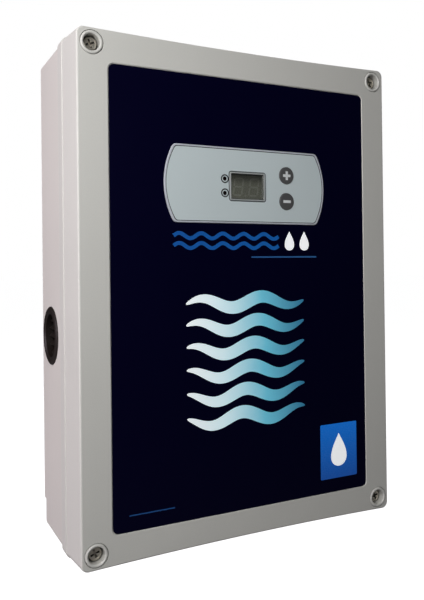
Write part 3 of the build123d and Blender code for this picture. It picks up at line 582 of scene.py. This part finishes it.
def face_loops(name):
    """Boundary loops of a piece's front-most flat face, as (x, z) in mm, longest first."""
    mesh, world_matrix = NODES[name].data, NODES[name].matrix_world
    places = [world_matrix @ v.co for v in mesh.vertices]
    front = min(p.y for p in places)
    keys = [(round(p.x, 7), round(p.z, 7)) for p in places]
    uses = {}
    for polygon in mesh.polygons:
        if all(abs(places[i].y - front) < 2e-6 for i in polygon.vertices):
            ends = [keys[i] for i in polygon.vertices]
            for a, b in zip(ends, ends[1:] + ends[:1]):
                side = (a, b) if a < b else (b, a)
                uses[side] = uses.get(side, 0) + 1
    # a side used by one polygon only lies on the boundary
    neighbours = {}
    for (a, b), count in uses.items():
        if count == 1 and a != b:
            neighbours.setdefault(a, []).append(b)
            neighbours.setdefault(b, []).append(a)
    loops, seen = [], set()
    for start in sorted(neighbours):
        if start in seen:
            continue
        loop = []
        steps = [start]
        while steps:
            seen.add(steps[0])
            loop.append(steps[0])
            steps = [n for n in neighbours[steps[0]] if n not in seen]
        loops.append([(x * MM, z * MM) for x, z in loop])
    return sorted(loops, key=lambda l: -sum(math.dist(l[i], l[i - 1]) for i in range(len(l))))


# ------------------------------------------------------------ outlines, mm
def rounded_box(x0, x1, z0, z1, radius, steps=6):
    points = []
    for x, z, start in ((x1 - radius, z1 - radius, 0), (x0 + radius, z1 - radius, 90),
                        (x0 + radius, z0 + radius, 180), (x1 - radius, z0 + radius, 270)):
        for i in range(steps + 1):
            a = math.radians(start + 90.0 * i / steps)
            points.append((x + radius * math.cos(a), z + radius * math.sin(a)))
    return points


def drop(x, z, radius, count=40):
    """Water drop, point up."""
    points = []
    for i in range(count):
        a = 2 * math.pi * i / count
        taper = math.sin(a / 2) ** 1.3
        points.append((x + radius * math.sin(a) * taper,
                       z + radius * math.cos(a) * 1.25 + radius * 0.1))
    return points


def wave(x, length, z, height, waves, phase=0.0, steps=96):
    """Points along a sine wave that starts at x; phase is in whole waves."""
    return [(x + length * i / steps,
             z + height * math.sin(2 * math.pi * (waves * i / steps + phase)))
            for i in range(steps + 1)]


def stroke(path, width):
    """Outline of a stroke along a path; width is a function of the way along, 0 to 1."""
    left, right = [], []
    last = len(path) - 1
    for i, (x, z) in enumerate(path):
        x0, z0 = path[max(i - 1, 0)]
        x1, z1 = path[min(i + 1, last)]
        length = math.hypot(x1 - x0, z1 - z0)
        nx, nz = -(z1 - z0) / length, (x1 - x0) / length
        half = width(i / last) / 2
        left.append((x + nx * half, z + nz * half))
        right.append((x - nx * half, z - nz * half))
    return left + right[::-1]


def face_centre(name):
    """Centre x and z of a piece, and the height of its front, in mm."""
    low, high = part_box(name)
    return (low.x + high.x) / 2 * MM, (low.z + high.z) / 2 * MM, -low.y * MM


# ------------------------------------------------------------ label artwork
LABEL_FACE = face_centre("front_label")[2]
PRINT_FACE = LABEL_FACE + 0.05
PATCH = dict(x0=57.6, x1=90.0, z0=-137.2, z1=-97.5)

INK_BLUE = ink("ink_blue", (0.0, srgb(14, 96, 186)), (1.0, srgb(18, 112, 204)))
# the white, patch and water inks glow: painted light
INK_WHITE = ink("ink_white", (0.0, srgb(236, 240, 244)), (1.0, srgb(246, 248, 250)), glow=0.46)
INK_PATCH = ink("ink_patch", (0.0, srgb(8, 66, 144)), (1.0, srgb(0, 102, 196)),
                axis="Z", low=-141.0, high=-97.0, glow=0.46)
INK_PALE = ink("ink_pale", (0.0, srgb(30, 84, 150)), (1.0, srgb(52, 112, 178)))
INK_WATER = ink("ink_water", (0.0, srgb(250, 253, 254)), (0.30, srgb(214, 240, 247)),
                (0.62, srgb(104, 190, 214)), (1.0, srgb(4, 88, 132)),
                low=-52.0, high=50.0, glow=0.36)
# dark ink, also laid in gaps as painted shade
GAP_SHADE_AND_INK = ink("ink_dark", (0.0, srgb(40, 42, 46)), (1.0, srgb(52, 54, 58)))


def label_print(name, outlines, material, bottom=LABEL_FACE, top=PRINT_FACE):
    prism("label_" + name, outlines, bottom, top, material, "lid")


def water_ribbon(k):
    """One of the stacked ribbons, all of one length, so the stack is straight-sided."""
    half, shift = 46.0, -1.6
    path = wave(shift - half, 2 * half, z=-6.0 - 15.6 * k, height=3.4, waves=2, phase=0.07 * k)
    return stroke(path, lambda along: 0.7 + 8.2 * math.sin(math.pi * along) ** 0.6)


def print_label():
    # wavy rules under the keypad, with two white drops
    for number, z in ((1, 39.0), (2, 32.5)):
        path = wave(-56.0, 80.0, z, height=1.7, waves=5)
        label_print("wave_rule_%d" % number, [stroke(path, lambda along: 2.6)], INK_BLUE)
    label_print("drop_marks", [drop(x, 35.5, radius=5.4) for x in (33.0, 45.5)], INK_WHITE)
    label_print("hairline", [rounded_box(2.0, 56.0, 24.2, 25.2, radius=0.4)], INK_PALE)
    label_print("water_ribbons", [water_ribbon(k) for k in range(6)], INK_WATER)
    # blue patch with one drop
    label_print("patch", [rounded_box(**PATCH, radius=0.8)], INK_PATCH)
    patch_x = (PATCH["x0"] + PATCH["x1"]) / 2
    label_print("patch_mark", [drop(patch_x, -117.6, radius=9.6)], INK_WHITE,
                bottom=PRINT_FACE, top=PRINT_FACE + 0.04)
    label_print("foot_rule", [rounded_box(-88.0, -57.0, -137.4, -136.6, radius=0.3)], INK_PALE)


print_label()


# ---------------------------------------------- keypad printing and digits
def print_keypad():
    """Painted shade in the gaps round the overlay and the display opening, and dark printed
    rings round the two status lights.
    """
    face = face_centre("keypad_overlay")[2]
    dark = (GAP_SHADE_AND_INK, "lid", "key_dark")
    overlay, display = face_loops("keypad_overlay")[:2]
    # painted shade: a dark strip fills the gap between bezel and overlay
    hoop("overlay_gap_shade", offset_sides(overlay, -0.43, 0.0), face - 0.6, face + 0.02, *dark)
    # painted shade: a dark line round the gap at the display frame
    hoop("display_gap_shade", offset_sides(display, -0.40, 0.0), face - 0.02, face + 0.03, *dark)
    low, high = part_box("status_leds")
    led_x, inset = face_centre("status_leds")[0], 1.7
    for side, z in (("upper", high.z * MM - inset), ("lower", low.z * MM + inset)):
        hoop("status_ring_" + side, ring_sides(led_x, z, inner=2.15, outer=3.0),
             face - 0.02, face + 0.04, *dark)


def print_key_marks():
    """Plus and minus signs on the keys."""
    reach, half = 3.1, 0.95      # half length and half width of a bar
    light = film("key_mark_light", srgb(238, 241, 243), rough=0.4, variation=0.03)
    for key in ("plus", "minus"):
        x, z, face = face_centre(key + "_key")
        marks = [rounded_box(x - reach, x + reach, z - half, z + half, radius=0.3)]
        if key == "plus":
            marks += [rounded_box(x - half, x + half, z + low, z + high, 0.0001, steps=1)
                      for low, high in ((half, reach), (-reach, -half))]
        prism(key + "_mark", marks, face - 0.02, face + 0.05, light, key + "_key")


def segment(x, z, length, upright=False, thick=1.25):
    """Pointed bar of a digit."""
    h, w = length / 2, thick / 2
    points = [(-h, 0), (-h + w, w), (h - w, w), (h, 0), (h - w, -w), (-h + w, -w)]
    if upright:
        points = [(-b, a) for a, b in points]
    return [(x + a, z + b) for a, b in points]


def print_digits():
    """Two slanted seven-segment digits, each with a decimal point to its lower right."""
    height, width, gap = 11.6, 6.6, 0.4
    digit_x = (-6.1, 6.1)        # from the module's centre
    point_x, point_z, point_radius = 5.4, -5.9, 0.7
    slant = math.tan(math.radians(8.0))
    x, z, face = face_centre("digit_module")
    bars = []
    for dx in digit_x:
        bars += [segment(dx, dz, width - gap) for dz in (-height / 2, 0.0, height / 2)]
        bars += [segment(dx + side * width / 2, half * height / 4, height / 2 - gap, True)
                 for side in (-1, 1) for half in (-1, 1)]
    bars = [[(x + a + b * slant, z + b) for a, b in bar] for bar in bars]
    points = [[(x + dx + point_x + point_radius * math.cos(i * math.pi / 6),
                z + point_z + point_radius * math.sin(i * math.pi / 6)) for i in range(12)]
              for dx in digit_x]
    unlit = film("segment_unlit", srgb(250, 251, 240), rough=0.4, shaded=True)
    for name, outlines in (("digit_segments", bars), ("digit_points", points)):
        prism(name, outlines, face - 0.02, face + 0.06, unlit, "lid")


print_keypad()
print_key_marks()
print_digits()


# ------------------------------------------------------------ camera, light
def make_camera():
    """Camera in front of the box and to its left."""
    right = Vector((0.893254, -0.449408, -0.01139))
    up = Vector((0.006842, -0.011742, 0.999908))
    forward = Vector((0.449501, 0.893249, 0.007414))
    pose = Matrix((right, up, -forward)).transposed().to_4x4()
    pose.translation = (-0.226896, -0.496245, 0.018735)
    camera = bpy.data.cameras.new("camera")
    holder = bpy.data.objects.new("camera", camera)
    scene.collection.objects.link(holder)
    holder.matrix_world = pose
    camera.sensor_width = 36.0
    camera.lens = 40.195
    camera.shift_x, camera.shift_y = -0.00673, -0.06467
    camera.clip_start, camera.clip_end = 0.01, 100.0
    scene.camera = holder


def softbox(name, place, size, energy, colour=(1, 1, 1), target=(0, 0, 0)):
    """Square area light aimed at a target."""
    light = bpy.data.lights.new(name, "AREA")
    light.shape = "RECTANGLE"
    light.size = light.size_y = size
    light.energy = energy
    light.color = colour
    holder = bpy.data.objects.new(name, light)
    scene.collection.objects.link(holder)
    holder.location = place
    aim = Vector(target) - Vector(place)
    holder.rotation_euler = aim.to_track_quat("-Z", "Y").to_euler()


def make_world():
    """White to the camera, a dim cool fill to everything else."""
    world = bpy.data.worlds.new("studio")
    scene.world = world
    t = Graph(world, "ShaderNodeOutputWorld")
    camera_ray = t.node("ShaderNodeLightPath").outputs["Is Camera Ray"]
    fill = t.out("ShaderNodeBackground", Color=(0.93, 0.95, 1.0), Strength=0.035)
    backdrop = t.out("ShaderNodeBackground", Color=(1.0, 1.0, 1.0), Strength=1.0)
    t.surface(t.out("ShaderNodeMixShader", camera_ray, fill, backdrop))


def floor_material():
    """Glowing pale floor to the camera, plain grey to everything else."""
    t = Material("floor_pale")
    camera_ray = t.node("ShaderNodeLightPath").outputs["Is Camera Ray"]
    pale = t.out("ShaderNodeBsdfDiffuse", Color=t.mix(t.noise(3.0, detail=3.0),
                                                      (0.80, 0.80, 0.80), (0.83, 0.83, 0.83)))
    glow = t.out("ShaderNodeEmission", Strength=0.97, Color=(1, 1, 1))
    seen = t.out("ShaderNodeAddShader", pale, glow)
    grey = t.out("ShaderNodeBsdfDiffuse", Color=(0.35, 0.35, 0.35))
    return t.surface(t.out("ShaderNodeMixShader", camera_ray, grey, seen))


def make_floor(z=-0.46, radii=(0.5, 1.0, 2.0, 4.0, 9.0, 30.0), count=96):
    """Round floor, well below the wall-hung box."""
    bm = bmesh.new()
    centre = bm.verts.new((0, 0, z))
    turns = [2 * math.pi * i / count for i in range(count)]
    rings = [[bm.verts.new((r * math.cos(a), r * math.sin(a), z)) for a in turns]
             for r in radii]
    for i in range(count):
        bm.faces.new((centre, rings[0][i], rings[0][(i + 1) % count]))
    for inner, outer in zip(rings, rings[1:]):
        for i in range(count):
            j = (i + 1) % count
            bm.faces.new((inner[i], outer[i], outer[j], inner[j]))
    floor = mesh_object("floor", bm)
    floor.data.materials.append(floor_material())


make_camera()
softbox("key_softbox", (-0.40, -0.50, 0.25), size=0.30, energy=2.55, colour=(1.0, 1.0, 0.99),
        target=(0.0, -0.096, 0.02))
softbox("left_softbox", (-1.7, 0.15, 0.30), size=1.0, energy=13.2, colour=(0.98, 0.875, 0.955))
softbox("back_softbox", (0.4, 1.6, 1.1), size=1.4, energy=5.0)
softbox("top_softbox", (0.0, 0.35, 1.8), size=1.0, energy=4.0)
make_world()
make_floor()

scene.view_settings.view_transform = "Standard"
scene.view_settings.look = "None"
scene.view_settings.exposure = 0.0
scene.view_settings.gamma = 1.0
